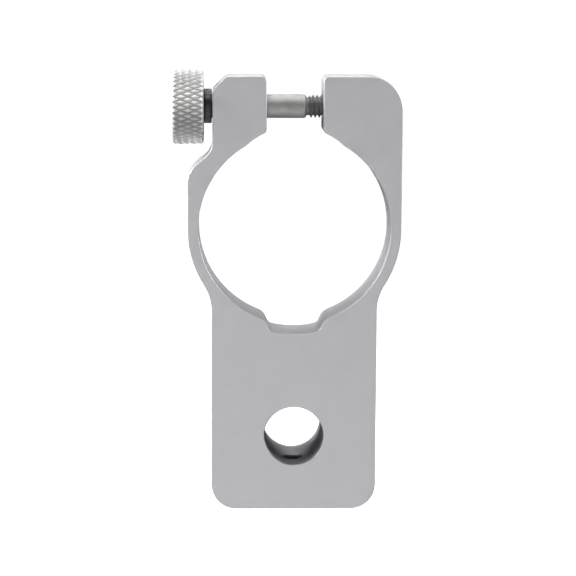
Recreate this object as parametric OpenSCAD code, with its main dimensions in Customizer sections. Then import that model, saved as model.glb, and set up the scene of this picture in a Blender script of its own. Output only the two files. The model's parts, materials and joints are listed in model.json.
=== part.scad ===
// Movement holder: an aluminium ring clamp on a post block. A thumb screw across
// two ears closes the split ring on a watch movement, and a set screw in the
// bottom edge locks the block on a round post.
//
// Origin: on the axis of the post bore, halfway through the block.
// +X points away from the knob, +Y to the back, +Z from the post up to the ring.

/* [Ring] */
// Diameter of the bore that grips the movement
clamp_bore_d = 32.4; // [30:0.1:33]
// Outer diameter of the ring
ring_od = 36; // [35.6:0.1:38]
// Thickness of the ring and ears, front to back
ring_depth = 10; // [9:0.5:11]
// Height of the ring centre above the post bore
ring_rise = 35.6; // [34:0.2:40]
// Width of the split between the two ears
split_w = 9.5; // [8:0.1:10]

/* [Ears] */
// Height of the ears above the ring centre
ear_rise = 25.5; // [25:0.1:28]
// Distance of the left ear's outer face from the centre line
left_ear_x = 13.8; // [13.5:0.1:15]
// Height of the thumb screw above the ring centre
screw_rise = 20.3; // [19.8:0.1:20.8]

/* [Block] */
// Width of the post block
block_w = 28; // [26:0.5:29]
// Thickness of the post block, front to back
block_depth = 15; // [13:0.5:18]
// Distance of the bottom edge below the post bore's axis
base_drop = 12.7; // [12:0.1:16]
// Diameter of the bore for the post
post_bore_d = 10.1; // [8:0.1:10.4]

/* [Thumb screw] */
// Diameter of the knurled knob
knob_d = 12.9; // [11:0.1:14]
// Thickness of the knob
knob_w = 5.2; // [4.5:0.1:6]
// Number of knurl ridges around the knob
knurl_count = 42; // [36:2:48]
// Diameter of the plain shank
shank_d = 4; // [3.8:0.1:4]
// Thread pitch of both screws
pitch = 0.7; // [0.5:0.1:0.8]
// Outer diameter of the black thrust washer
washer_d = 5.8; // [5.4:0.1:6.4]

/* [Hidden] */

$fn = 96;
slack = 0.05;            // radial clearance of a running fit
edge = 0.3;              // edge chamfer of the machined body
overrun = 1;             // how far a cutting tool runs past a face
front_y = -block_depth/2;
ring_z = ring_rise;
bore_r = clamp_bore_d/2;
ring_r = ring_od/2;
half_block = block_w/2;

// Ring and block outline
base_r = 4.2;            // radius of the two bottom corners
waist_r = 8;             // fillet between the ring and the block
top_r = 5.6;             // radius of the right ear's outer corner
shoulder_rise = 9.5;     // height above the ring centre where the left shoulder starts
shoulder_top = 13.05;    // height above the ring centre where it meets the left ear
shoulder_r = 4;          // rounding at the bottom of the shoulder
shoulder_fillet_r = 3.6; // fillet at the top of the shoulder
ear_bevel = 2.3;         // bevel of the left ear's outer corner
bevel_r = 1.3;           // roundings at the two ends of that bevel
step_drop = 21;          // where the thick block ends, below the ring centre

// Notch at the bottom of the ring bore and relief at its top
notch_floor_r = 17.95;   // the notch floor is an arc about the ring centre
notch_floor_w = 8.34;    // width of the notch floor between its corners
notch_mouth_w = 10.4;    // width of the notch at its height above those corners
notch_height = 2.3;
notch_r = 1.2;
relief_r = 12;
relief_rise = 5.2;

// The ring's left arm bends at the waist; the slit marks its pseudo-rigid hinge
hinge_angle = 220;       // position of the hinge around the ring
slit = 0.3;

// Thumb screw
thread_r = 1.95;
thread_depth = 0.43;
tapped_r = thread_r + slack;
washer_gap = 0.15;       // room for the ear to tilt as the arm bends
washer_w = 1.3;
washer_x = -left_ear_x - washer_gap - washer_w;
knob_x = washer_x - slack;
knob_r = knob_d/2;
knob_round = 0.7;
knurl_depth = 0.4;
stud_in_knob = 4;        // length of shank held inside the knob
shank_end_x = 1.95;
screw_end_x = 14.2;
arm_hole_r = 2.4;        // clearance hole in the left ear
screw_z = ring_z + screw_rise;
screw_y = front_y + ring_depth/2;

// Set screw with a dog point, turned back clear of the post bore
post_r = post_bore_d/2;
set_screw_y = front_y + 6;
set_hole_r = 2.05;
set_mouth_r = 1.7;       // the hole where it opens into the post bore
set_mouth_z = -post_r - 0.95;
dog_r = 1.25;
dog_l = 1.6;
dog_top_z = -post_r - 0.6;
set_thread_l = 4.2;
socket_flats = 2;
socket_depth = 1.8;

function unit(v) = v/norm(v);

// Points of a circular arc about c, from angle a0 to a1, marked as sharp vertices.
// An arc that carries on from another one starts at its second point, with first = 1.
function arc(c, r, a0, a1, first = 0, n = 16) =
    [for (i = [first:n]) let (a = a0 + (a1 - a0)*i/n) [c[0] + r*cos(a), c[1] + r*sin(a), 0]];

// Rounds the corner at b, between its neighbours a and c, with radius r
function corner(a, b, c, r, n = 10) =
    let (u = unit(a - b), v = unit(c - b), half = acos(u*v)/2,
         centre = b + unit(u + v)*r/sin(half),
         p = b + u*r/tan(half) - centre,
         start = atan2(p[1], p[0]),
         turn = (u[0]*v[1] - u[1]*v[0] > 0 ? -1 : 1)*(180 - 2*half))
    [for (i = [0:n]) centre + r*[cos(start + turn*i/n), sin(start + turn*i/n)]];

function flat(p) = [p[0], p[1]];

// A closed outline from vertices [x, z, corner radius]
function rounded(path) =
    let (last = len(path) - 1)
    [for (i = [0:last])
        let (here = path[i], before = path[i == 0 ? last : i - 1], after = path[i == last ? 0 : i + 1])
        each (here[2] == 0 ? [flat(here)] : corner(flat(before), flat(here), flat(after), here[2]))];

// Extrudes an outline drawn in X and Z from the front face backwards
module plate(from_y, depth) {
    translate([0, from_y + depth, 0]) rotate([90, 0, 0]) linear_extrude(depth) children();
}

// A cylinder along Y whose ends flare into edge chamfers
module bore_y(r, from_y, depth) {
    translate([0, from_y - overrun, 0]) rotate([-90, 0, 0]) cylinder(r = r, h = depth + 2*overrun);
    for (end = [[from_y, 1], [from_y + depth, -1]])
        translate([0, end[0] - end[1]*edge, 0]) rotate([-90*end[1], 0, 0])
            cylinder(r1 = r + 2*edge, r2 = r, h = 2*edge);
}

// A revolved profile of [x, radius] points, turned about the thumb screw's axis
module turned_x(profile) {
    translate([0, screw_y, screw_z]) rotate([90, 0, 90]) rotate_extrude()
        polygon([for (p = profile) [p[1], p[0]]]);
}

// The whole body's outline, drawn about the ring centre
module body_outline() {
    waist = [-half_block - waist_r, -sqrt(pow(ring_r + waist_r, 2) - pow(half_block + waist_r, 2))];
    meet = atan2(-waist[1], -waist[0]);
    base = -ring_rise - base_drop;
    left = concat(
        [[-half_block, base, base_r]],
        arc(waist, waist_r, 0, meet),
        arc([0, 0], ring_r, 180 + meet, 180, first = 1),
        [[-ring_r, shoulder_rise, shoulder_r],
         [-left_ear_x, shoulder_top, shoulder_fillet_r],
         [-left_ear_x, ear_rise - ear_bevel, bevel_r],
         [-left_ear_x + ear_bevel, ear_rise, bevel_r]]);
    right = concat(
        [[ring_r, ear_rise, top_r]],
        arc([0, 0], ring_r, 0, -meet),
        arc([-waist[0], waist[1]], waist_r, 180 - meet, 180, first = 1),
        [[half_block, base, base_r]]);
    polygon(rounded(concat(left, right)));
}

module split_and_notch() {
    corner_z = -sqrt(pow(notch_floor_r, 2) - pow(notch_floor_w/2, 2));
    notch_top = corner_z + notch_height;
    reach = asin((notch_floor_w/2 - notch_r)/notch_floor_r);
    polygon(rounded(concat(
        [[-notch_mouth_w/2, notch_top, 0], [-notch_floor_w/2, corner_z, notch_r]],
        arc([0, 0], notch_floor_r, -90 - reach, -90 + reach, n = 12),
        [[notch_floor_w/2, corner_z, notch_r], [notch_mouth_w/2, notch_top, 0]])));
    translate([-split_w/2, 0]) square([split_w, ear_rise + overrun]);
}

// The part of the ring that bends: everything clockwise from the slit to the split
module arm_sector(shift) {
    far = 3*ring_r;
    ray = [cos(hinge_angle), sin(hinge_angle)];
    side = shift*[-ray[1], ray[0]];
    polygon([side, [0, far], [-far, far], far*ray + side]);
}

// Ring, ears and block before the arm is parted from it
module body_blank() {
    difference() {
        union() {
            translate([0, 0, ring_z]) plate(front_y, ring_depth) body_outline();
            translate([0, 0, ring_z]) plate(front_y + ring_depth - overrun, block_depth - ring_depth + overrun)
                intersection() {
                    body_outline();
                    translate([-ring_r, -step_drop - 2*ring_r]) square([2*ring_r, 2*ring_r]);
                }
        }
        translate([0, 0, ring_z]) {
            plate(front_y - overrun, ring_depth + 2*overrun) split_and_notch();
            bore_y(bore_r, front_y, ring_depth);
            translate([0, 0, relief_rise]) bore_y(relief_r, front_y, ring_depth);
        }
    }
}

module holder_body() color("silver") {
    difference() {
        body_blank();
        translate([0, 0, ring_z]) plate(front_y - overrun, ring_depth + 2*overrun) arm_sector(slit/2);
        bore_y(post_r, front_y, block_depth);
        // tapped hole in the right ear, with a countersink at each end
        turned_x([[0, 0], [0, tapped_r], [ring_r + overrun, tapped_r], [ring_r + overrun, 0]]);
        turned_x([[0, 0], [0, tapped_r + 2*edge], [split_w/2, tapped_r + 2*edge],
                  [split_w/2 + 2*edge, tapped_r], [split_w/2 + 2*edge, 0]]);
        turned_x([[ring_r - 2*edge, 0], [ring_r - 2*edge, tapped_r], [ring_r, tapped_r + 2*edge],
                  [ring_r + overrun, tapped_r + 2*edge], [ring_r + overrun, 0]]);
        // set screw hole, from the bottom edge up into the post bore
        translate([0, set_screw_y, -base_drop]) {
            translate([0, 0, -overrun]) cylinder(r = set_hole_r, h = base_drop + overrun + set_mouth_z);
            cylinder(r = set_mouth_r, h = base_drop);
            translate([0, 0, -edge]) cylinder(r1 = set_hole_r + 2*edge, r2 = set_hole_r, h = 2*edge);
        }
    }
}

module flex_arm() color("lightgray") {
    difference() {
        intersection() {
            body_blank();
            translate([0, 0, ring_z]) plate(front_y - overrun, ring_depth + 2*overrun) arm_sector(-slit/2);
        }
        turned_x([[-ring_r, 0], [-ring_r, arm_hole_r], [0, arm_hole_r], [0, 0]]);
    }
}

module thrust_washer() color("dimgray") {
    inner = shank_d/2 + slack;
    turned_x([[washer_x, inner], [washer_x, washer_d/2], [washer_x + washer_w, washer_d/2],
              [washer_x + washer_w, inner]]);
}

// Ridged round bar for the knob's grip
module knurled_bar() {
    step = 180/knurl_count;
    polygon([for (i = [0:2*knurl_count - 1])
        let (r = i % 2 == 0 ? knob_r : knob_r - knurl_depth) r*[cos(i*step), sin(i*step)]]);
}

module thumb_knob() color("gainsboro") {
    outer_x = knob_x - knob_w;
    seat_r = shank_d/2 + 0.02;
    rim_r = knob_r - knob_round;
    flare = knob_round + overrun;
    // both rims are bevelled by cones that run out past the ridges
    intersection() {
        turned_x([[outer_x, 0], [outer_x, rim_r], [outer_x + flare, rim_r + flare],
                  [knob_x - flare, rim_r + flare], [knob_x, rim_r], [knob_x, seat_r],
                  [knob_x - stud_in_knob, seat_r], [knob_x - stud_in_knob, 0]]);
        translate([outer_x, screw_y, screw_z]) rotate([90, 0, 90]) linear_extrude(knob_w) knurled_bar();
    }
}

module clamp_screw() color("gray") {
    turns = floor((screw_end_x - shank_end_x)/pitch) - 1;
    root_r = thread_r - thread_depth;
    crest = pitch/8;
    thread = [for (i = [0:turns - 1]) let (x = shank_end_x + i*pitch)
        each [[x, root_r], [x + pitch/2 - crest, thread_r], [x + pitch/2 + crest, thread_r]]];
    thread_end = shank_end_x + turns*pitch;
    turned_x(concat([[knob_x - stud_in_knob, 0], [knob_x - stud_in_knob, shank_d/2],
                     [shank_end_x, shank_d/2]], thread,
                    [[thread_end, root_r], [screw_end_x, root_r - edge], [screw_end_x, 0]]));
}

module post_set_screw() color("black") {
    shoulder_z = dog_top_z - dog_l;
    end_z = shoulder_z - set_thread_l;
    translate([0, set_screw_y, 0]) difference() {
        rotate_extrude() polygon([[0, dog_top_z], [dog_r - edge/2, dog_top_z], [dog_r, dog_top_z - edge/2],
            [dog_r, shoulder_z], [thread_r - edge, shoulder_z], [thread_r, shoulder_z - edge],
            [thread_r, end_z + edge], [thread_r - edge, end_z], [0, end_z]]);
        translate([0, 0, end_z - overrun])
            cylinder(d = socket_flats/cos(30), h = socket_depth + overrun, $fn = 6);
    }
}

holder_body();
flex_arm();
thrust_washer();
thumb_knob();
clamp_screw();
post_set_screw();
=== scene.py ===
import json
import math

import bmesh
import bpy
from mathutils import Matrix, Vector


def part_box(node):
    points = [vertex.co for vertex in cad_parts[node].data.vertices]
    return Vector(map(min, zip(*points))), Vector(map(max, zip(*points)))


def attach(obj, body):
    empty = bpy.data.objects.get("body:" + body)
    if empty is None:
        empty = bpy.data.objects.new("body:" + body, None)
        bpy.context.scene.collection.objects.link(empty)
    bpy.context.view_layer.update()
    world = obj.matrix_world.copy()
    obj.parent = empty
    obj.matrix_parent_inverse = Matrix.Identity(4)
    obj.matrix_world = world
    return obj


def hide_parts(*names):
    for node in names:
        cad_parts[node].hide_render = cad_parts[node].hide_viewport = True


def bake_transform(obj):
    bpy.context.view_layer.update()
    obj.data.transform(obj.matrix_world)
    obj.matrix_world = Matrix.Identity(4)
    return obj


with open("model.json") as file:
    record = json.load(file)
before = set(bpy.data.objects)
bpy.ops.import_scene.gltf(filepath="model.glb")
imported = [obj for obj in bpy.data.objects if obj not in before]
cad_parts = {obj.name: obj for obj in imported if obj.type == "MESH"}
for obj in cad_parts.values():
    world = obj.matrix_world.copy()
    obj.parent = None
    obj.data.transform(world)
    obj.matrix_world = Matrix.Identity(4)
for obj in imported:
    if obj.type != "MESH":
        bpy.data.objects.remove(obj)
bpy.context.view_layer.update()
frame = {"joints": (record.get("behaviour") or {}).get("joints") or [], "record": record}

# Meshes are drawn in millimetres and scaled to metres when they are finished.
MM = 0.001
RECORD = frame["record"]
MOUNTS = {m["name"]: m for m in RECORD["mounts"]}
JOINTS = {j["name"]: j for j in frame["joints"]}


def in_mm(metres):
    """A point or a list of metres as millimetres, rounded to a tenth of a micrometre."""
    return Vector([round(value / MM, 4) for value in metres])


def box_mm(node):
    """The lowest and highest corners of a CAD node, in millimetres."""
    return [in_mm(corner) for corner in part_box(node)]


# Places and sizes that the frame gives
HOLDER_LOW, HOLDER_HIGH = box_mm("holder_body")
WASHER_LOW, WASHER_HIGH = box_mm("thrust_washer")
KNOB_LOW, KNOB_HIGH = box_mm("thumb_knob")
SCREW_LOW, SCREW_HIGH = box_mm("clamp_screw")
SET_LOW, SET_HIGH = box_mm("post_set_screw")
SET_PLACE = (0, (SET_LOW.y + SET_HIGH.y) / 2, 0)
RING_CENTRE = in_mm(MOUNTS["movement_clamp"]["pos_m"])
SCREW_AXIS = in_mm(JOINTS["screw_turn"]["pos_m"])
SCREW_LINE = (0, SCREW_AXIS.y, SCREW_AXIS.z)
BORE_R = MOUNTS["movement_clamp"]["dims"]["r_mm"]
POST_R = MOUNTS["post_bore"]["dims"]["r_mm"]
FRONT_Y = HOLDER_LOW.y
BACK_Y = HOLDER_HIGH.y
RING_BACK_Y = box_mm("flex_arm")[1].y
BASE_Z = HOLDER_LOW.z
RING_R = HOLDER_HIGH.x

# The body's outline, drawn in X and Z about the ring centre
BASE = BASE_Z - RING_CENTRE.z             # the bottom edge
EAR_RISE = HOLDER_HIGH.z - RING_CENTRE.z  # the top of both ears
HALF_BLOCK = 14.0         # half the width of the block
BASE_R = 4.2              # rounding of the block's bottom corners
WAIST_R = 8.0             # hollow between the ring and the block
STEP = -21.0              # where the block gets thicker than the ring
TOP_R = 5.6               # rounding of the right ear's outer corner
EAR_R = 0.85              # rounding of the ears' corners at the split
LEFT_EAR_X = 13.8         # distance of the left ear's outer face from the centre
EAR_BEVEL = 2.3           # bevel on the left ear's outer corner
BEVEL_R = 1.3             # rounding at both ends of that bevel
SHOULDER = 9.5            # where the shoulder below the left ear starts
SHOULDER_TOP = 13.05      # where the shoulder meets the left ear
SHOULDER_R = 4.0          # rounding at the bottom of the shoulder
SHOULDER_FILLET_R = 3.6   # fillet at the top of the shoulder
HALF_SPLIT = 4.75         # half the gap between the ears
RELIEF_R = 12.0           # shallow relief at the top of the ring bore
RELIEF_RISE = 5.2         # height of the relief's centre
NOTCH_FLOOR_R = 17.95     # the notch floor is an arc about the ring centre
NOTCH_HALF_FLOOR = 4.17   # half the width of the notch floor
NOTCH_SLOPE = Vector((1.25, 2.8)).normalized()  # direction of the notch's right side
NOTCH_R = 1.2             # rounding of the notch floor's corners
MOUTH_R = 2.5             # rounding between the notch and the ring bore
SPLIT_R = 0.8             # rounding between the split and the relief
EDGE = 0.16               # rounding of the body's edges
EDGE_STEPS = 4            # flats on each rounded edge
SHARP_ANGLE = 60          # outer edges that turn by more than this are rounded
POST_SEGMENTS = 160       # flats around the post bore

# The ring's left arm is parted from the rest here, where it bends with the holder
SEAM_ANGLE = 228.0        # direction of the seam from the ring centre

# Drills and other cutters run this far past the faces they cut
OVERRUN = 1.0

# Threads: M4 x 0.7
PITCH = 0.7
THREAD_R = 1.95           # radius of a screw's crests
ROOT_R = 1.52             # radius of a screw's roots
CREST = PITCH / 8         # width of a crest
ROOT = PITCH / 4          # width of a root
THREAD_SLACK = 0.05       # play between a screw and its tapped hole
THREAD_PHASE = 0.35       # shift of the tapped hole's thread from the ear's face
TAP_OVERLAP = 0.2         # how far a thread's cutter reaches into the drilled hole
COUNTERSINK = 0.3         # how far a countersink opens past the thread

# Thumb screw
SHANK_R = 2.0
SHANK_END = 1.95          # where the plain shank ends
SHANK_CHAMFER = 0.2       # chamfer at the shank's knob end
SHANK_END_CHAMFER = 0.25  # chamfer at its other end
NECK_START = SHANK_END + 0.12
NECK_END = SHANK_END + 0.42
NECK_SLOPE = 0.6          # length of the cone from the neck to the thread, over its height
FIRST_GROOVE = SHANK_END + 0.6  # the thread's first groove starts no later than here
ARM_HOLE_R = 2.4          # plain hole in the left ear
ARM_HOLE_EDGE = 0.2       # rounding of that hole's edges

# Knob
KNOB_R = (KNOB_HIGH.z - KNOB_LOW.z) / 2
KNOB_BEVEL = 0.62         # radius of the rounded rims
KNOB_BORE_R = SHANK_R + 0.02
KNOB_BORE_DEPTH = 4.0
KNOB_BORE_BEVEL = 0.15    # countersink of the knob's bore
KNOB_BORE_OVERRUN = 0.1
KNURLS = 42               # ridges around the knob
KNURL_LENGTH = 2.27       # length of a diamond along the axis
KNURL_DEPTH = 0.32
KNURL_CREST = 0.9         # share of the full height at which the diamonds are cut off
KNURL_CELLS = 6           # mesh cells across half a diamond
KNURL_MARGIN = 0.03       # least distance of a row of cells from the rounded rims

# Thrust washer
WASHER_R = (WASHER_HIGH.z - WASHER_LOW.z) / 2
WASHER_EDGE = 0.16        # rounding of its outer edges
WASHER_BEVEL = 0.1        # bevel of its bore

# Set screw
SET_HOLE_R = 2.05         # plain middle of the hole
SET_MOUTH_R = 1.7         # the hole's last part, at the post bore
SET_MOUTH_Z = -6.0        # where that part starts
SET_HOLE_GAP = 0.1        # the plain middle starts this far below the screw
SET_SHOULDER = -7.25      # where the thread ends and the dog point starts
DOG_R = 1.25
DOG_CHAMFER = 0.2
SOCKET_FLATS = 2.0        # size of the hex key
SOCKET_DEPTH = 1.8
ENTRY_OVERRUN = 0.5       # the bevel's cutter runs this far past the socket's mouth
ENTRY_SHARE = 0.83        # bottom of that bevel as a share of the socket's radius

# Smooth shading runs over edges below these angles
SMOOTH_ANGLE = 34
KNOB_SMOOTH_ANGLE = 24

# Points closer than this count as one
SAME_POINT = 1e-4
LEVEL = 1e-6

# Camera
LENS = 124.53             # focal length in millimetres
SENSOR_WIDTH = 36
CAMERA_CLIP = (0.01, 10)  # nearest and farthest distance seen, in metres
CAMERA_DISTANCE = 336.0
CAMERA_AZIMUTH = -1.768
CAMERA_ELEVATION = 8.536
CAMERA_ROLL = 0.273
CAMERA_TARGET = Vector((-1.093, FRONT_Y, RING_CENTRE.z - 10.011))

# Studio
FLOOR_DROP = 90           # distance of the floor below the base, in millimetres
FLOOR_R = 2.0             # metres
DOME_R = 2.1              # metres
STAGE_GLOW = 1.0
WORLD_STRENGTH = 0.01

# Softboxes: name, azimuth and elevation, distance, width and height, power in watts
LIGHTS = [
    ("front_top", -5, 66, 600, (160, 50), 0.85),
    ("rear_top", 180, 46, 600, (300, 50), 0.6),
    ("overhead", 180, 80, 600, (500, 120), 1.6),
    ("over_left", -90, 62, 600, (100, 200), 0.7),
    ("front_mid", -6, -5, 1200, (900, 300), 2.0),
    ("front_fill", -6, -18, 700, (900, 500), 0.75),
    ("low_front", 0, -50, 600, (500, 200), 1.2),
    ("left_side", -90, 20, 600, (300, 300), 6.0),
    ("right_side", 90, 22, 600, (300, 300), 3.0),
    ("rear_left", -112, 15, 600, (160, 400), 1.8),
    ("rear_right", 112, 15, 600, (160, 400), 1.3),
    ("right_graze", 72, 12, 600, (160, 400), 1.0),
]


# ---------------------------------------------------------------- outlines

def arc(centre, radius, start, end, step=1.5):
    """Points along an arc from one angle to another, in degrees, both ends included."""
    count = max(2, math.ceil(abs(end - start) / step))
    angles = [math.radians(start + (end - start) * i / count) for i in range(count + 1)]
    x, z = centre
    return [(x + radius * math.cos(a), z + radius * math.sin(a), 0) for a in angles]


def corner(before, here, after, radius, steps=8):
    """Points that round the corner at here, between two straight lines."""
    here = Vector(here)
    u = (Vector(before) - here).normalized()
    v = (Vector(after) - here).normalized()
    half = u.angle(v) / 2
    centre = here + (u + v).normalized() * radius / math.sin(half)
    first = here + u * radius / math.tan(half) - centre
    turn = math.pi - 2 * half
    if u.x * v.y - u.y * v.x > 0:
        turn = -turn
    start = math.atan2(first.y, first.x)
    angles = [start + turn * i / steps for i in range(steps + 1)]
    return [(centre.x + radius * math.cos(a), centre.y + radius * math.sin(a)) for a in angles]


def rounded(path):
    """A closed outline from corners [x, z, radius], with no point given twice."""
    points = []
    for i, (x, z, radius) in enumerate(path):
        before = path[i - 1][:2]
        after = path[(i + 1) % len(path)][:2]
        points += corner(before, (x, z), after, radius) if radius else [(x, z)]
    gaps = [(Vector(p) - Vector(points[i - 1])).length for i, p in enumerate(points)]
    return [p for p, gap in zip(points, gaps) if gap > SAME_POINT]


def mirrored(path):
    """The same path on the other side of the centre line, run backwards."""
    return [(-x, z, radius) for x, z, radius in reversed(path)]


def inner_half():
    """The right half of the inside, from the split's face down to the notch floor."""
    gap = Vector((HALF_SPLIT + SPLIT_R, 0))
    gap.y = RELIEF_RISE + math.sqrt((RELIEF_R + SPLIT_R) ** 2 - gap.x ** 2)
    relief_start = math.degrees(math.atan2(gap.y - RELIEF_RISE, gap.x))
    meet_z = (BORE_R ** 2 - RELIEF_R ** 2 + RELIEF_RISE ** 2) / (2 * RELIEF_RISE)
    bore_start = math.degrees(math.asin(meet_z / BORE_R))
    relief_end = math.degrees(math.asin((meet_z - RELIEF_RISE) / RELIEF_R))
    away = Vector((NOTCH_SLOPE.y, -NOTCH_SLOPE.x))
    floor_z = -math.sqrt(NOTCH_FLOOR_R ** 2 - NOTCH_HALF_FLOOR ** 2)
    floor_reach = math.degrees(math.asin((NOTCH_HALF_FLOOR - NOTCH_R) / NOTCH_FLOOR_R))
    foot = Vector((NOTCH_HALF_FLOOR, floor_z)) + away * MOUTH_R
    along = -foot.dot(NOTCH_SLOPE)
    reach = (BORE_R + MOUTH_R) ** 2 - foot.length_squared
    mouth = foot + NOTCH_SLOPE * (along - math.sqrt(along ** 2 + reach))
    bore_end = math.degrees(math.atan2(mouth.y, mouth.x))
    mouth_end = math.degrees(math.atan2(-away.y, -away.x))
    return (
        arc(gap, SPLIT_R, 180, 180 + relief_start, 12)
        + arc((0, RELIEF_RISE), RELIEF_R, relief_start, relief_end)
        + arc((0, 0), BORE_R, bore_start, bore_end)[1:]
        + arc(mouth, MOUTH_R, 180 + bore_end, mouth_end, 5)[1:]
        + [(NOTCH_HALF_FLOOR, floor_z, NOTCH_R)]
        + arc((0, 0), NOTCH_FLOOR_R, -90 + floor_reach, -90)
    )


def body_outline():
    """The ring, ears and block as one closed outline, anticlockwise from the bottom left."""
    waist_x = HALF_BLOCK + WAIST_R
    waist_z = -math.sqrt((RING_R + WAIST_R) ** 2 - waist_x ** 2)
    meet = math.degrees(math.atan2(-waist_z, waist_x))
    lower = [(HALF_BLOCK, STEP, 0)] + arc((waist_x, waist_z), WAIST_R, 180, 180 - meet, 3)
    side = lower + arc((0, 0), RING_R, -meet, 0)[1:]
    inside = inner_half()
    return rounded(
        [(-HALF_BLOCK, BASE, BASE_R), (HALF_BLOCK, BASE, BASE_R)]
        + side
        + [(RING_R, EAR_RISE, TOP_R), (HALF_SPLIT, EAR_RISE, EAR_R)]
        + inside
        + mirrored(inside)
        + [
            (-HALF_SPLIT, EAR_RISE, EAR_R),
            (-LEFT_EAR_X + EAR_BEVEL, EAR_RISE, BEVEL_R),
            (-LEFT_EAR_X, EAR_RISE - EAR_BEVEL, BEVEL_R),
            (-LEFT_EAR_X, SHOULDER_TOP, SHOULDER_FILLET_R),
            (-RING_R, SHOULDER, SHOULDER_R),
        ]
        + mirrored(side)
    )


# ---------------------------------------------------------------- mesh tools

def new_object(name, bm):
    """A Blender object from a bmesh, which is freed."""
    bmesh.ops.recalc_face_normals(bm, faces=bm.faces)
    mesh = bpy.data.meshes.new(name)
    bm.to_mesh(mesh)
    bm.free()
    piece = bpy.data.objects.new(name, mesh)
    bpy.context.scene.collection.objects.link(piece)
    return piece


def combine(target, tool, operation="DIFFERENCE"):
    """Applies an exact boolean to target and removes the tool."""
    modifier = target.modifiers.new("combine", "BOOLEAN")
    modifier.operation = operation
    modifier.solver = "EXACT"
    modifier.object = tool
    shown = target.evaluated_get(bpy.context.evaluated_depsgraph_get())
    mesh = bpy.data.meshes.new_from_object(shown)
    target.modifiers.clear()
    old = target.data
    target.data = mesh
    bpy.data.meshes.remove(old)
    bpy.data.objects.remove(tool)


def duplicate(piece, name):
    """A second object with its own copy of the mesh."""
    twin = bpy.data.objects.new(name, piece.data.copy())
    bpy.context.scene.collection.objects.link(twin)
    return twin


def lathe(name, profile, segments=96, ring=False):
    """A solid turned about +X from [along, radius] points: a bar, or with ring a closed ring."""
    bm = bmesh.new()
    rows = []
    for along, radius in profile:
        if radius == 0:
            rows.append([bm.verts.new((along, 0, 0))])
            continue
        angles = [2 * math.pi * i / segments for i in range(segments)]
        circle = [(along, radius * math.cos(a), radius * math.sin(a)) for a in angles]
        rows.append([bm.verts.new(point) for point in circle])
    pairs = list(zip(rows, rows[1:]))
    if ring:
        pairs.append((rows[-1], rows[0]))
    for low, high in pairs:
        for i in range(segments):
            j = (i + 1) % segments
            low_pair = [low[i], low[j]] if len(low) > 1 else low
            high_pair = [high[j], high[i]] if len(high) > 1 else high
            bm.faces.new(low_pair + high_pair)
    return new_object(name, bm)


def helix(name, section, start, turns, steps=48):
    """A right-hand coil about +X whose section is [along, radius] points."""
    bm = bmesh.new()
    rows = []
    for i in range(steps * turns + 1):
        angle = 2 * math.pi * i / steps
        shift = start + PITCH * i / steps
        c, s = math.cos(angle), math.sin(angle)
        rows.append([bm.verts.new((shift + along, r * c, r * s)) for along, r in section])
    for low, high in zip(rows, rows[1:]):
        for i in range(len(section)):
            j = (i + 1) % len(section)
            bm.faces.new((low[i], low[j], high[j], high[i]))
    bm.faces.new(rows[0])
    bm.faces.new(rows[-1])
    return new_object(name, bm)


def placed(piece, position, axis="X"):
    """Moves a part that was turned about +X to its place, with its axis along X, Y or Z."""
    turn = {
        "X": Matrix.Identity(4),
        "Y": Matrix.Rotation(math.pi / 2, 4, "Z"),
        "Z": Matrix.Rotation(-math.pi / 2, 4, "Y"),
    }[axis]
    piece.data.transform(Matrix.Translation(position) @ turn)
    return piece


def quarter_turn():
    """The angles at which the points of a rounded edge lie."""
    return [math.pi / 2 * i / EDGE_STEPS for i in range(EDGE_STEPS + 1)]


def flare(face, inward, radius, edge):
    """Profile points from outside a face into a hole whose edge is rounded."""
    points = [
        Vector((face + inward * edge * (1 - math.cos(a)), radius + edge * (1 - math.sin(a))))
        for a in quarter_turn()
    ]
    # the first flat is drawn out past the face, so that it cuts cleanly
    points[0] += (points[0] - points[1]) * 4
    outside = Vector((face - inward * OVERRUN, points[0].y))
    return [tuple(outside)] + [tuple(p) for p in points]


def hole(low, high, radius, edge):
    """The profile of a drill that leaves a rounded edge at both ends of its hole."""
    near = flare(low, 1, radius, edge)
    far = flare(high, -1, radius, edge)
    return [(near[0][0], 0)] + near + far[::-1] + [(far[0][0], 0)]


def cleaned(piece, distance=0.004):
    """Welds points that a boolean left almost on top of each other."""
    bm = bmesh.new()
    bm.from_mesh(piece.data)
    bmesh.ops.remove_doubles(bm, verts=bm.verts, dist=distance)
    bmesh.ops.dissolve_degenerate(bm, edges=bm.edges, dist=distance / 4)
    bm.to_mesh(piece.data)
    bm.free()


def finished(piece, angle=SMOOTH_ANGLE):
    """Scales a piece to metres, smooths it up to an angle and keeps its flats flat."""
    cleaned(piece)
    piece.data.transform(Matrix.Scale(MM, 4))
    piece.data.shade_smooth()
    piece.data.set_sharp_from_angle(angle=math.radians(angle))
    normals = piece.modifiers.new("normals", "WEIGHTED_NORMAL")
    normals.keep_sharp = True
    return piece


# ---------------------------------------------------------------- pieces

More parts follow.
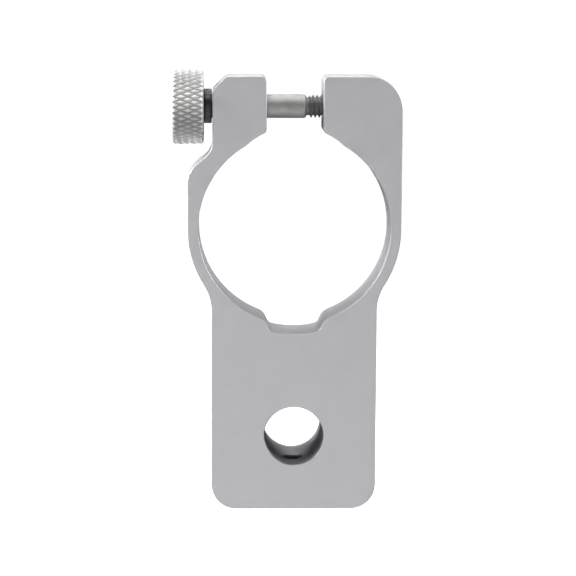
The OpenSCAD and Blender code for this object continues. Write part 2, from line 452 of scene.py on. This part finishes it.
def body_blank():
    """The ring, ears and block before drilling, with rounded edges."""
    bm = bmesh.new()
    outline = body_outline()
    z = RING_CENTRE.z
    front = [bm.verts.new((x, FRONT_Y, z + h)) for x, h in outline]
    on_block = [h <= STEP + LEVEL for x, h in outline]
    on_ring = [h >= STEP - LEVEL for x, h in outline]
    ring = [
        bm.verts.new((x, RING_BACK_Y, z + h)) if on else None
        for (x, h), on in zip(outline, on_ring)
    ]
    block = [
        bm.verts.new((x, BACK_Y, z + h)) if on else None
        for (x, h), on in zip(outline, on_block)
    ]
    for i in range(len(outline)):
        j = (i + 1) % len(outline)
        if on_block[i] and on_block[j]:
            side = (front[i], front[j], ring[j], block[j], block[i], ring[i])
            bm.faces.new([v for v in side if v])
        else:
            bm.faces.new((front[i], front[j], ring[j], ring[i]))
    bm.faces.new(front)
    bm.faces.new([v for v in ring if v])
    bm.faces.new([v for v in block if v])
    ends = [i for i in range(len(outline)) if on_block[i] and on_ring[i]]
    bm.faces.new((ring[ends[0]], block[ends[0]], block[ends[1]], ring[ends[1]]))
    bmesh.ops.recalc_face_normals(bm, faces=bm.faces)
    least = math.radians(SHARP_ANGLE)
    sharp = [e for e in bm.edges if e.is_convex and e.calc_face_angle() > least]
    bmesh.ops.bevel(
        bm, geom=sharp, offset=EDGE, offset_type="OFFSET", segments=EDGE_STEPS, profile=0.5,
        affect="EDGES", clamp_overlap=False,
    )
    return new_object("ring_and_block", bm)


def internal_thread(start, turns):
    """The coil that cuts a tapped hole's thread, in phase with the screws."""
    crest = CREST / 2 + THREAD_SLACK / 2
    mouth = (PITCH - ROOT) / 2 + THREAD_SLACK / 2
    bottom = ROOT_R + THREAD_SLACK
    section = [
        (-crest, THREAD_R + THREAD_SLACK), (crest, THREAD_R + THREAD_SLACK),
        (mouth, bottom), (mouth, bottom - TAP_OVERLAP),
        (-mouth, bottom - TAP_OVERLAP), (-mouth, bottom),
    ]
    return helix("thread", section, start, turns)


def external_thread(start, turns):
    """The coil that cuts a screw's thread."""
    root = ROOT / 2
    beyond = 0.06
    slope = ((PITCH - CREST) / 2 - root) / (THREAD_R - ROOT_R)
    mouth = (PITCH - CREST) / 2 + slope * beyond
    wide = THREAD_R + beyond
    section = [(-root, ROOT_R), (root, ROOT_R), (mouth, wide), (-mouth, wide)]
    return helix("thread", section, start, turns)


def tapped_drill(low, high):
    """A drill of the thread's minor radius, with a countersink at each end."""
    radius = ROOT_R + THREAD_SLACK
    wide = THREAD_R + COUNTERSINK
    depth = wide - radius
    profile = [
        (low - OVERRUN, 0), (low - OVERRUN, wide + OVERRUN), (low + depth, radius),
        (high - depth, radius), (high + OVERRUN, wide + OVERRUN), (high + OVERRUN, 0),
    ]
    return lathe("drill", profile)


def drill_body(body):
    """Cuts the post bore and the screw holes in the ears."""
    post = hole(FRONT_Y, BACK_Y, POST_R, EDGE)
    combine(body, placed(lathe("drill", post, POST_SEGMENTS), (0, 0, 0), "Y"))
    left = hole(-LEFT_EAR_X, -HALF_SPLIT, ARM_HOLE_R, ARM_HOLE_EDGE)
    combine(body, placed(lathe("drill", left), SCREW_LINE))
    combine(body, placed(tapped_drill(HALF_SPLIT, RING_R), SCREW_LINE))
    turns = math.ceil((RING_R - HALF_SPLIT) / PITCH) + 2
    start = HALF_SPLIT - PITCH + THREAD_PHASE
    combine(body, placed(internal_thread(start, turns), SCREW_LINE))


def drill_set_screw_hole(body):
    """Cuts the hole below the post bore: narrow at the base, wide around the screw, then a mouth."""
    tapped = ROOT_R + THREAD_SLACK
    plain_start = SET_LOW.z - SET_HOLE_GAP
    wide = THREAD_R + COUNTERSINK
    profile = [
        (BASE_Z - OVERRUN, 0), (BASE_Z - OVERRUN, wide + OVERRUN),
        (BASE_Z + wide - tapped, tapped), (plain_start, tapped),
        (plain_start, SET_HOLE_R), (SET_MOUTH_Z, SET_HOLE_R), (SET_MOUTH_Z, SET_MOUTH_R),
        (-POST_R / 2, SET_MOUTH_R), (-POST_R / 2, 0),
    ]
    combine(body, placed(lathe("drill", profile), SET_PLACE, "Z"))


def seam_wedge():
    """Everything on the arm's side of the seam, as a cutting solid."""
    reach = 3 * RING_R
    past = 5 * OVERRUN
    angle = math.radians(SEAM_ANGLE)
    along_seam = (reach * math.cos(angle), reach * math.sin(angle))
    corners = [(0, 0), (0, reach), (-reach, reach), along_seam]
    x, z = RING_CENTRE.x, RING_CENTRE.z
    bm = bmesh.new()
    front = [bm.verts.new((x + u, FRONT_Y - past, z + v)) for u, v in corners]
    back = [bm.verts.new((x + u, BACK_Y + past, z + v)) for u, v in corners]
    for i in range(len(corners)):
        j = (i + 1) % len(corners)
        bm.faces.new((front[i], front[j], back[j], back[i]))
    bm.faces.new(front)
    bm.faces.new(back)
    return new_object("wedge", bm)


def body_pieces():
    """The machined body in two pieces: the holder, and the arm that bends away from it."""
    holder = body_blank()
    drill_body(holder)
    drill_set_screw_hole(holder)
    arm = duplicate(holder, "ring_arm")
    combine(holder, seam_wedge())
    combine(arm, seam_wedge(), "INTERSECT")
    return finished(holder), finished(arm)


def thrust_washer():
    """The black washer between the knob and the ear, with rounded edges."""
    low, high = WASHER_LOW.x, WASHER_HIGH.x
    inner = SHANK_R + THREAD_SLACK
    r = WASHER_EDGE
    rounding = [(r - r * math.sin(a), WASHER_R - r + r * math.cos(a)) for a in quarter_turn()]
    near = [(low + inward, radius) for inward, radius in reversed(rounding)]
    far = [(high - inward, radius) for inward, radius in rounding]
    bore = [
        (high, inner + WASHER_BEVEL), (high - WASHER_BEVEL, inner),
        (low + WASHER_BEVEL, inner), (low, inner + WASHER_BEVEL),
    ]
    washer = lathe("thrust_washer_ring", bore[-1:] + near + far + bore[:-1], ring=True)
    return finished(placed(washer, SCREW_LINE))


def knurl_height(along, around):
    """Height of the diamond knurl from 0 in its grooves to 1 on its peaks; around is in ridges."""
    grooves = (around + along / KNURL_LENGTH, around - along / KNURL_LENGTH)
    height = min(1 - abs(2 * (g % 1) - 1) for g in grooves)
    return min(1, height / KNURL_CREST)


def knob_envelope(inward):
    """How far the rounded rim stands back from the full radius, by distance from the end face."""
    if inward >= KNOB_BEVEL:
        return 0
    return KNOB_BEVEL - math.sqrt(KNOB_BEVEL ** 2 - (KNOB_BEVEL - inward) ** 2)


def thumb_knob():
    """The knob: a diamond knurl cut into a turned disc with rounded rims."""
    low, high = KNOB_LOW.x, KNOB_HIGH.x
    middle = (low + high) / 2
    cell = KNURL_LENGTH / 2 / KNURL_CELLS
    count = 2 * KNURLS * KNURL_CELLS
    reach = math.floor((high - low) / 2 / cell)
    rim = [KNOB_BEVEL * (1 - math.cos(math.radians(angle))) for angle in (0, 15, 30, 45)]
    margin = rim[-1] + KNURL_MARGIN
    rows_of_cells = [middle + i * cell for i in range(-reach, reach + 1)]
    places = [p for p in rows_of_cells if low + margin < p < high - margin]
    places = sorted([low + d for d in rim] + [high - d for d in rim] + places)
    bm = bmesh.new()
    rows = []
    for place in places:
        limit = KNOB_R - knob_envelope(min(place - low, high - place))
        row = []
        for i in range(count):
            height = knurl_height(place - middle, i / 2 / KNURL_CELLS)
            r = min(limit, KNOB_R - KNURL_DEPTH * (1 - height))
            angle = 2 * math.pi * i / count
            row.append(bm.verts.new((place, r * math.cos(angle), r * math.sin(angle))))
        rows.append(row)
    for near, far in zip(rows, rows[1:]):
        for i in range(count):
            j = (i + 1) % count
            add_split_quad(bm, near[i], near[j], far[j], far[i])
    bm.faces.new(rows[0])
    bm.faces.new(rows[-1])
    knob = new_object("thumb_knob_knurled", bm)
    bottom = high - KNOB_BORE_DEPTH
    outside = high + KNOB_BORE_OVERRUN
    mouth_r = KNOB_BORE_R + KNOB_BORE_BEVEL + KNOB_BORE_OVERRUN
    combine(knob, lathe("drill", [
        (bottom, 0), (bottom, KNOB_BORE_R), (high - KNOB_BORE_BEVEL, KNOB_BORE_R),
        (outside, mouth_r), (outside, 0),
    ]))
    return finished(placed(knob, SCREW_LINE), KNOB_SMOOTH_ANGLE)


def add_split_quad(bm, a, b, c, d):
    """Two triangles over a quad, split along the diagonal whose ends are level."""
    level = [v.co.y ** 2 + v.co.z ** 2 for v in (a, b, c, d)]
    if abs(level[0] - level[2]) < abs(level[1] - level[3]):
        bm.faces.new((a, b, c))
        bm.faces.new((a, c, d))
    else:
        bm.faces.new((a, b, d))
        bm.faces.new((b, c, d))


def clamp_screw():
    """The thumb screw's shank and its M4 thread."""
    low, high = SCREW_LOW.x, SCREW_HIGH.x
    chamfer = THREAD_R - ROOT_R
    profile = [
        (low, 0), (low, SHANK_R - SHANK_CHAMFER), (low + SHANK_CHAMFER, SHANK_R),
        (SHANK_END - SHANK_END_CHAMFER, SHANK_R), (SHANK_END, SHANK_R - SHANK_END_CHAMFER),
        (NECK_START, ROOT_R), (NECK_END, ROOT_R), (NECK_END + chamfer * NECK_SLOPE, THREAD_R),
        (high - chamfer, THREAD_R), (high, ROOT_R), (high, 0),
    ]
    screw = lathe("clamp_screw_threaded", profile)
    turns = math.ceil((high - SHANK_END) / PITCH) + 2
    first = HALF_SPLIT - PITCH + THREAD_PHASE + PITCH / 2
    while first > FIRST_GROOVE:
        first -= PITCH
    combine(screw, external_thread(first, turns))
    return finished(placed(screw, SCREW_LINE))


def post_set_screw():
    """The dog point set screw with its hex socket."""
    low, high = SET_LOW.z, SET_HIGH.z
    chamfer = THREAD_R - ROOT_R
    profile = [
        (low, 0), (low, ROOT_R), (low + chamfer, THREAD_R), (SET_SHOULDER - chamfer, THREAD_R),
        (SET_SHOULDER, ROOT_R), (SET_SHOULDER, DOG_R),
        (high - DOG_CHAMFER, DOG_R), (high, DOG_R - DOG_CHAMFER), (high, 0),
    ]
    screw = lathe("set_screw_threaded", profile)
    turns = math.ceil((SET_SHOULDER - low) / PITCH)
    combine(screw, external_thread(low - PITCH / 2, turns))
    socket_r = SOCKET_FLATS / 2 / math.cos(math.radians(30))
    bottom = low + SOCKET_DEPTH
    socket = [(low - OVERRUN, 0), (low - OVERRUN, socket_r), (bottom, socket_r),
              (bottom + socket_r / 2, 0)]
    combine(screw, lathe("socket", socket, 6))
    outside = low - ENTRY_OVERRUN
    inside = low + socket_r / 6
    entry = [(outside, 0), (outside, socket_r + ENTRY_OVERRUN), (inside, socket_r * ENTRY_SHARE),
             (inside, 0)]
    combine(screw, lathe("entry", entry, 48))
    return finished(placed(screw, SET_PLACE, "Z"))


# ---------------------------------------------------------------- materials

class Nodes:
    """A Principled material under construction, with the few node chains that the pieces share."""

    def __init__(self, name, colour, metallic, roughness):
        self.material = bpy.data.materials.new(name)
        self.material.use_nodes = True
        self.tree = self.material.node_tree
        self.shader = self.tree.nodes["Principled BSDF"]
        self.shader.inputs["Base Color"].default_value = (*colour, 1)
        self.shader.inputs["Metallic"].default_value = metallic
        self.shader.inputs["Roughness"].default_value = roughness
        self.place = self.new("ShaderNodeTexCoord").outputs["Object"]
        self.normal = None

    def new(self, kind, **settings):
        """A node of this kind, with its settings."""
        node = self.tree.nodes.new(kind)
        for key, value in settings.items():
            setattr(node, key, value)
        return node

    def link(self, source, target):
        """Joins an output to an input."""
        self.tree.links.new(source, target)

    def about(self, centre):
        """Moves the texture's centre to a point of the row frame, in millimetres."""
        mapping = self.new("ShaderNodeMapping")
        mapping.inputs["Location"].default_value = [-c * MM for c in centre]
        self.link(self.place, mapping.inputs["Vector"])
        self.place = mapping.outputs["Vector"]

    def noise(self, size, detail=2.0, stretch=None):
        """Noise whose features are size millimetres across, stretched along some axes."""
        node = self.new("ShaderNodeTexNoise")
        node.inputs["Scale"].default_value = 1 / (size * MM)
        node.inputs["Detail"].default_value = detail
        source = self.place
        if stretch:
            mapping = self.new("ShaderNodeMapping")
            mapping.inputs["Scale"].default_value = stretch
            self.link(source, mapping.inputs["Vector"])
            source = mapping.outputs["Vector"]
        self.link(source, node.inputs["Vector"])
        return node.outputs["Fac"]

    def lathe_lines(self, spacing, kind, distortion=1.5):
        """Turning marks about X: bands along the axis, or rings on an end face."""
        node = self.new("ShaderNodeTexWave", wave_type=kind)
        if kind == "BANDS":
            node.bands_direction = "X"
        else:
            node.rings_direction = "X"
        node.inputs["Scale"].default_value = 2 * math.pi / (20 * spacing * MM)
        node.inputs["Distortion"].default_value = distortion
        node.inputs["Detail"].default_value = 2.0
        self.link(self.place, node.inputs["Vector"])
        return node.outputs["Fac"]

    def ranged(self, source, low, high, start, end):
        """The source, stretched so that start becomes low and end becomes high."""
        node = self.new("ShaderNodeMapRange")
        node.inputs["From Min"].default_value = start
        node.inputs["From Max"].default_value = end
        node.inputs["To Min"].default_value = low
        node.inputs["To Max"].default_value = high
        self.link(source, node.inputs["Value"])
        return node.outputs["Result"]

    def roughness(self, source, low, high):
        """Runs the roughness from low to high with the source."""
        self.link(self.ranged(source, low, high, 0.3, 0.7), self.shader.inputs["Roughness"])

    def colours(self, source, dark, light):
        """Runs the base colour from dark to light with the source."""
        ramp = self.new("ShaderNodeValToRGB")
        ends = ((0.3, dark), (0.7, light))
        for element, (position, colour) in zip(ramp.color_ramp.elements, ends):
            element.position = position
            element.color = (*colour, 1)
        self.link(source, ramp.inputs["Fac"])
        self.link(ramp.outputs["Color"], self.shader.inputs["Base Color"])

    def along_x(self):
        """Distance along X from the texture's centre, in metres."""
        parts = self.new("ShaderNodeSeparateXYZ")
        self.link(self.place, parts.inputs["Vector"])
        return parts.outputs["X"]

    def about_x(self):
        """Distance from the X axis through the texture's centre, in metres."""
        flat = self.new("ShaderNodeVectorMath", operation="MULTIPLY")
        flat.inputs[1].default_value = (0, 1, 1)
        self.link(self.place, flat.inputs[0])
        length = self.new("ShaderNodeVectorMath", operation="LENGTH")
        self.link(flat.outputs["Vector"], length.inputs[0])
        return length.outputs["Value"]

    def shade(self, source, stops):
        """Multiplies the base colour by a grey that runs through [position, grey] with the source."""
        ramp = self.new("ShaderNodeValToRGB")
        elements = ramp.color_ramp.elements
        for i, (position, grey) in enumerate(stops):
            element = elements[i] if i < 2 else elements.new(position)
            element.position = position
            element.color = (grey, grey, grey, 1)
        mix = self.new("ShaderNodeMix", data_type="RGBA", blend_type="MULTIPLY")
        mix.inputs[0].default_value = 1
        self.link(source, ramp.inputs["Fac"])
        self.link(self.shader.inputs["Base Color"].links[0].from_socket, mix.inputs[6])
        self.link(ramp.outputs["Color"], mix.inputs[7])
        self.link(mix.outputs[2], self.shader.inputs["Base Color"])

    def bump(self, source, depth, strength=1.0):
        """Adds relief, depth in millimetres, on top of what is there."""
        node = self.new("ShaderNodeBump")
        node.inputs["Distance"].default_value = depth * MM
        node.inputs["Strength"].default_value = strength
        self.link(source, node.inputs["Height"])
        if self.normal:
            self.link(self.normal, node.inputs["Normal"])
        self.normal = node.outputs["Normal"]
        self.link(self.normal, self.shader.inputs["Normal"])


def satin_aluminium():
    """Fine bead-blasted and clear anodised aluminium."""
    m = Nodes("satin_aluminium", (0.6, 0.6, 0.62), 0.7, 0.5)
    m.colours(m.noise(7.0, 3.0), (0.594, 0.592, 0.616), (0.608, 0.606, 0.63))
    m.roughness(m.noise(1.3, 4.0), 0.47, 0.54)
    m.bump(m.noise(0.16, 3.0), 0.006, 0.5)
    m.bump(m.noise(0.05, 1.0), 0.002, 0.35)
    return m.material


def bright_steel():
    """Nickel-plated steel, with painted shade in the knurl's grooves."""
    m = Nodes("bright_steel", (0.78, 0.78, 0.77), 0.35, 0.5)
    m.about(SCREW_AXIS)
    m.colours(m.noise(1.1, 4.0), (0.74, 0.74, 0.73), (0.82, 0.82, 0.81))
    radius = KNOB_R * MM
    groove_shade = m.ranged(m.about_x(), 0, 1, radius - 2 * KNURL_DEPTH * MM, radius)
    # painted shade by radius, darkest on the floor of the grooves: the end face, the floor of the
    # grooves and the diamonds' upper parts
    m.shade(groove_shade, [(0.4, 0.85), (0.5, 0.6), (0.85, 1)])
    m.roughness(m.noise(0.5, 3.0), 0.45, 0.55)
    m.bump(m.lathe_lines(0.12, "RINGS"), 0.003, 0.4)
    m.bump(m.noise(0.09, 2.0), 0.003, 0.3)
    return m.material


def turned_steel():
    """Plain turned steel with fine lathe lines, darker in the thread."""
    m = Nodes("turned_steel", (0.42, 0.42, 0.41), 0.4, 0.5)
    m.about(SCREW_AXIS)
    m.colours(m.noise(0.9, 4.0, (0.5, 1.0, 1.0)), (0.38, 0.38, 0.37), (0.46, 0.46, 0.45))
    thread = m.ranged(m.along_x(), 0, 1, SHANK_END * MM, (SHANK_END + 0.2) * MM)
    m.shade(thread, [(0, 1), (1, 0.45)])
    m.roughness(m.noise(0.6, 4.0, (2.0, 1.0, 1.0)), 0.45, 0.6)
    m.bump(m.lathe_lines(0.09, "BANDS"), 0.003, 0.5)
    m.bump(m.noise(0.07, 2.0), 0.003, 0.3)
    return m.material


def black_nylon():
    """Black nylon, moulded, with a faint sheen."""
    m = Nodes("black_nylon", (0.02, 0.02, 0.02), 0.0, 0.38)
    m.about(SCREW_AXIS)
    m.colours(m.noise(0.8, 3.0), (0.012, 0.012, 0.012), (0.03, 0.03, 0.031))
    m.roughness(m.noise(0.4, 3.0), 0.32, 0.5)
    m.bump(m.lathe_lines(0.11, "BANDS", 0.6), 0.004, 0.5)
    return m.material


def black_oxide_steel():
    """Blackened steel with a trace of oil."""
    m = Nodes("black_oxide_steel", (0.03, 0.03, 0.032), 0.8, 0.4)
    m.colours(m.noise(0.7, 4.0), (0.02, 0.02, 0.022), (0.06, 0.058, 0.055))
    m.roughness(m.noise(0.35, 3.0), 0.3, 0.52)
    m.bump(m.noise(0.1, 3.0), 0.005, 0.4)
    return m.material


# ---------------------------------------------------------------- studio

def stage_material(name, brightness):
    """A plain glowing white for the floor or the wall."""
    m = Nodes(name, (brightness,) * 3, 0.0, 0.9)
    m.colours(m.noise(900.0, 1.0), (brightness - 0.01,) * 3, (brightness,) * 3)
    m.shader.inputs["Emission Color"].default_value = (1, 1, 1, 1)
    m.shader.inputs["Emission Strength"].default_value = STAGE_GLOW
    return m.material


def stage_disc(name, radius, height, material):
    """A round floor, seen by the camera but giving the object no light of its own."""
    bm = bmesh.new()
    bmesh.ops.create_circle(bm, cap_ends=True, radius=radius, segments=96)
    disc = new_object(name, bm)
    disc.location.z = height
    disc.data.materials.append(material)
    disc.visible_diffuse = False
    disc.visible_glossy = False


def stage_dome(name, radius, material):
    """A plain wall all round, seen only by the camera."""
    bm = bmesh.new()
    bmesh.ops.create_uvsphere(bm, u_segments=64, v_segments=32, radius=radius)
    dome = new_object(name, bm)
    dome.data.materials.append(material)
    dome.data.shade_smooth()
    dome.visible_diffuse = False
    dome.visible_glossy = False
    dome.visible_shadow = False


def direction(azimuth, elevation):
    """The unit vector towards a viewer at this azimuth and elevation."""
    a, e = math.radians(azimuth), math.radians(elevation)
    return Vector((math.sin(a) * math.cos(e), -math.cos(a) * math.cos(e), math.sin(e)))


def softbox(name, azimuth, elevation, distance, size, power):
    """An area light aimed at the ring from a direction given as for the camera."""
    light = bpy.data.lights.new(name, "AREA")
    light.shape = "RECTANGLE"
    light.size = size[0] * MM
    light.size_y = size[1] * MM
    light.energy = power
    lamp = bpy.data.objects.new(name, light)
    bpy.context.scene.collection.objects.link(lamp)
    back = direction(azimuth, elevation)
    lamp.location = (RING_CENTRE + back * distance) * MM
    lamp.rotation_euler = back.to_track_quat("Z", "Y").to_euler()


def studio():
    """Floor, wall and lights."""
    stage_disc("floor", FLOOR_R, (BASE_Z - FLOOR_DROP) * MM, stage_material("floor_white", 0.85))
    stage_dome("backdrop", DOME_R, stage_material("backdrop_white", 0.8))
    world = bpy.data.worlds.new("studio")
    world.use_nodes = True
    background = world.node_tree.nodes["Background"]
    background.inputs["Color"].default_value = (1, 1, 1, 1)
    background.inputs["Strength"].default_value = WORLD_STRENGTH
    bpy.context.scene.world = world
    for light in LIGHTS:
        softbox(*light)
    bpy.context.scene.view_settings.view_transform = "Standard"


def camera():
    """The camera at the photograph's place."""
    back = direction(CAMERA_AZIMUTH, CAMERA_ELEVATION)
    azimuth, roll = math.radians(CAMERA_AZIMUTH), math.radians(CAMERA_ROLL)
    right = Vector((math.cos(azimuth), math.sin(azimuth), 0))
    up = back.cross(right)
    x_axis = right * math.cos(roll) + up * math.sin(roll)
    y_axis = up * math.cos(roll) - right * math.sin(roll)
    lens = bpy.data.cameras.new("camera")
    lens.lens = LENS
    lens.sensor_width = SENSOR_WIDTH
    lens.clip_start, lens.clip_end = CAMERA_CLIP
    seat = bpy.data.objects.new("camera", lens)
    bpy.context.scene.collection.objects.link(seat)
    turn = Matrix((x_axis, y_axis, back)).transposed().to_4x4()
    seat.matrix_world = Matrix.Translation((CAMERA_TARGET + back * CAMERA_DISTANCE) * MM) @ turn
    bpy.context.scene.camera = seat


def dress(piece, body, slot, material, *nodes):
    """Gives a piece its material and its body, and hides the CAD nodes it stands for; the slot is not
    used.
    """
    piece.data.materials.clear()
    piece.data.materials.append(material)
    if body:
        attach(piece, body)
    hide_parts(*nodes)


def build():
    """Makes every visible piece and joins each, except the arm, to its body in the frame."""
    aluminium = satin_aluminium()
    holder, arm = body_pieces()
    dress(holder, "holder", "satin_aluminium", aluminium, "holder_body")
    dress(arm, None, "satin_aluminium", aluminium, "flex_arm")
    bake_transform(arm)
    dress(thrust_washer(), "washer", "black_nylon", black_nylon(), "thrust_washer")
    dress(thumb_knob(), "thumb_screw", "bright_steel", bright_steel(), "thumb_knob")
    dress(clamp_screw(), "thumb_screw", "turned_steel", turned_steel(), "clamp_screw")
    dress(post_set_screw(), "set_screw", "black_oxide_steel", black_oxide_steel(), "post_set_screw")


build()
studio()
camera()
